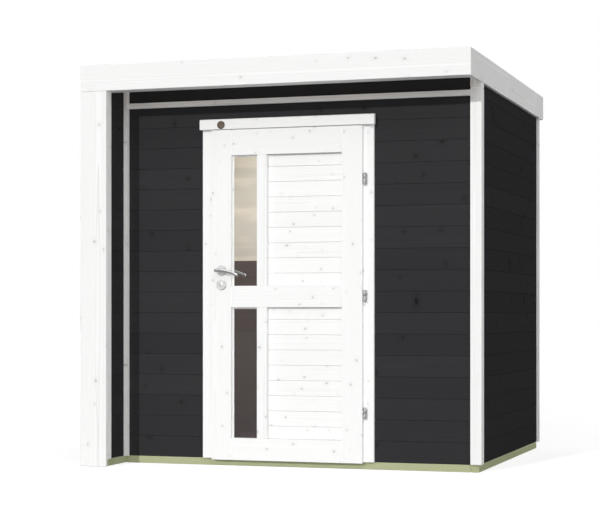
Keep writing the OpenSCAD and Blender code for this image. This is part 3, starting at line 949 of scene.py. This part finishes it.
def rosettes():
    """Round plates for lever and lock on both faces of the leaf."""
    axis = joint_place("lever_turn")
    front, back = (corner.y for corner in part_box("door_stiles"))
    work = Work()
    for face, out in ((front, -1), (back, 1)):
        for drop in (0, KEY_DROP):

            def on_leaf(a, b, h):
                return (axis.x + a, face + out * h, axis.z - drop + b)

            rim = [(ROSETTE_RADIUS, 0), (ROSETTE_RADIUS, ROSETTE_THICK)]
            if drop:
                proud = ROSETTE_THICK + LOCK_PROUD
                lock = [(LOCK_RADIUS, ROSETTE_THICK), (LOCK_RADIUS, proud), (0, proud)]
                work.add(turned(soften([(0, 0)] + rim + lock, ROSETTE_EASE), on_leaf))
            else:
                hole = NECK_RADIUS + TURN_CLEARANCE
                plate = soften([(hole, 0)] + rim + [(hole, ROSETTE_THICK)], ROSETTE_EASE)
                work.add(turned(plate, on_leaf, closed=True))
    work.piece("lever_and_lock_rosettes", "door", "steel", ["door_rosettes"], [STEEL])


def squared(share):
    """A sine or cosine drawn out, so that a round section becomes a soft square."""
    return math.copysign(abs(share) ** LEVER_SQUARENESS, share)


def lever(node, out):
    """An arched lever with its neck and its half of the spindle; out is -1 in front and 1 behind."""
    axis = joint_place("lever_turn")
    low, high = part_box(node)
    tip = low.y if out < 0 else high.y
    middle = tip - out * LEVER_HALF_DEPTH
    leaf_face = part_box("door_stiles")[0 if out < 0 else 1].y
    start = -math.asin(ARCH_BACK / ARCH_RADIUS)
    stop = math.asin(ARCH_FRONT / ARCH_RADIUS)
    solid = bmesh.new()
    rings = []
    cap = LEVER_END / ARCH_RADIUS
    rounds = [2 * math.pi * i / LEVER_SIDES for i in range(LEVER_SIDES)]
    for k in range(LEVER_STEPS + 1):
        turn = start + (stop - start) * k / LEVER_STEPS
        inward = min(1, min(turn - start, stop - turn) / cap)
        size = LEVER_END_SIZE + (1 - LEVER_END_SIZE) * math.sqrt(max(0, 1 - (1 - inward) ** 2))
        ring = []
        for t in rounds:
            side = squared(math.cos(t)) * LEVER_HALF_HEIGHT * size
            deep = squared(math.sin(t)) * LEVER_HALF_DEPTH * size
            reach = ARCH_RADIUS + side
            x = axis.x + reach * math.sin(turn)
            z = axis.z - ARCH_RADIUS + reach * math.cos(turn)
            ring.append(solid.verts.new((x, middle + deep, z)))
        rings.append(ring)
    for one, two in zip(rings, rings[1:]):
        for i in range(LEVER_SIDES):
            j = (i + 1) % LEVER_SIDES
            solid.faces.new((one[i], one[j], two[j], two[i]))
    solid.faces.new(rings[0])
    solid.faces.new(rings[-1])
    bmesh.ops.recalc_face_normals(solid, faces=solid.faces)
    for face in solid.faces:
        face.smooth = True
    work = Work()
    work.add(solid)
    shank = [
        (0, middle), (NECK_RADIUS, middle), (NECK_RADIUS, leaf_face), (SPINDLE_RADIUS, leaf_face),
        (SPINDLE_RADIUS, axis.y), (0, axis.y),
    ]
    work.add(turned(shank, lambda a, b, h: (axis.x + a, h, axis.z + b)))
    work.piece(node + "_arched", "lever", "steel", [node], [LEVER_STEEL_PAINTED_DARK])


def plain_disc():
    """A plain domed disc on the door cap."""
    low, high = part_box("cap_disc")
    radius = (high.x - low.x) / 2
    x = (low.x + high.x) / 2
    z = (low.z + high.z) / 2
    thick = high.y - low.y
    outline = [(r * radius, h * thick) for r, h in DISC_OUTLINE]
    work = Work()
    work.add(turned(outline, lambda a, b, h: (x + a, high.y - h, z + b)))
    work.piece("plain_cap_disc", "shed", "bronze", ["cap_disc"], [BRONZE])


def camera():
    """A level camera with its view shifted up."""
    data = bpy.data.cameras.new("photo_camera")
    data.lens = CAMERA_LENS
    data.sensor_width = CAMERA_SENSOR
    data.shift_y = CAMERA_SHIFT
    eye = bpy.data.objects.new("photo_camera", data)
    eye.location = CAMERA_PLACE
    eye.rotation_euler = (math.radians(90), 0, math.radians(CAMERA_YAW))
    bpy.context.scene.collection.objects.link(eye)
    bpy.context.scene.camera = eye


def far_lamp(name, turn, height, strength, width, shadow):
    """A far lamp; with a shadow it stands for a real lamp, without one for even light."""
    data = bpy.data.lights.new(name, "SUN")
    data.energy = strength
    data.angle = math.radians(width)
    data.use_shadow = shadow
    turn = math.radians(turn)
    height = math.radians(height)
    level = math.cos(height)
    way = Vector((math.sin(turn) * level, math.cos(turn) * level, -math.sin(height)))
    lamp = bpy.data.objects.new(name, data)
    lamp.rotation_euler = way.to_track_quat("-Z", "Y").to_euler()
    bpy.context.scene.collection.objects.link(lamp)


def lights():
    """A low key lamp from the front left, a wide one from the front right, fills, and a lamp in the room."""
    for name, lamp in FAR_LAMPS.items():
        far_lamp(name, **lamp)
    room = bpy.data.lights.new("room_lamp", "AREA")
    room.energy = ROOM_LAMP["strength"]
    room.size = ROOM_LAMP["size"]
    inside = bpy.data.objects.new("room_lamp", room)
    inside.location = ROOM_LAMP["place"]
    bpy.context.scene.collection.objects.link(inside)


def seen_directly(tree):
    """1 for rays from the camera, a mirror or through glass, else 0."""
    path = put(tree, "LightPath").outputs
    direct = calc(tree, "MAXIMUM", path["Is Camera Ray"], path["Is Glossy Ray"])
    return calc(tree, "MAXIMUM", direct, path["Is Transmission Ray"])


def stage():
    """A pale floor that keeps the shadow, and a world that is white where it is seen."""
    world = bpy.data.worlds.new("studio")
    world.use_nodes = True
    tree = world.node_tree
    tree.nodes.clear()
    strength = ramp(tree, seen_directly(tree), 0.0, 1.0, SKY_STRENGTH, 1.0)
    background = put(tree, "Background", {"Color": (1, 1, 1, 1), "Strength": strength})
    output = put(tree, "OutputWorld")
    tree.links.new(background.outputs[0], output.inputs["Surface"])
    bpy.context.scene.world = world

    finish, tree, shader = new_finish("pale_floor", Roughness=0.9)
    shader.inputs["Base Color"].default_value = (FLOOR_COLOUR, FLOOR_COLOUR, FLOOR_COLOUR, 1)
    shader.inputs["Emission Color"].default_value = (1, 1, 1, 1)
    glow = calc(tree, "MULTIPLY", seen_directly(tree), FLOOR_GLOW)
    tree.links.new(glow, shader.inputs["Emission Strength"])
    mesh = bpy.data.meshes.new("studio_floor")
    corners = [(x * FLOOR_HALF, y * FLOOR_HALF, 0) for x, y in ((-1, -1), (1, -1), (1, 1), (-1, 1))]
    mesh.from_pydata(corners, [], [(0, 1, 2, 3)])
    mesh.materials.append(finish)
    floor = bpy.data.objects.new("studio_floor", mesh)
    bpy.context.scene.collection.objects.link(floor)
    bpy.context.scene.view_settings.view_transform = "Standard"


camera()
lights()
stage()
base_and_floor()
walls()
white_trims()
roof()
plain_disc()
door_leaf()
hinges()
rosettes()
lever("lever_outside", -1)
lever("lever_inside", 1)
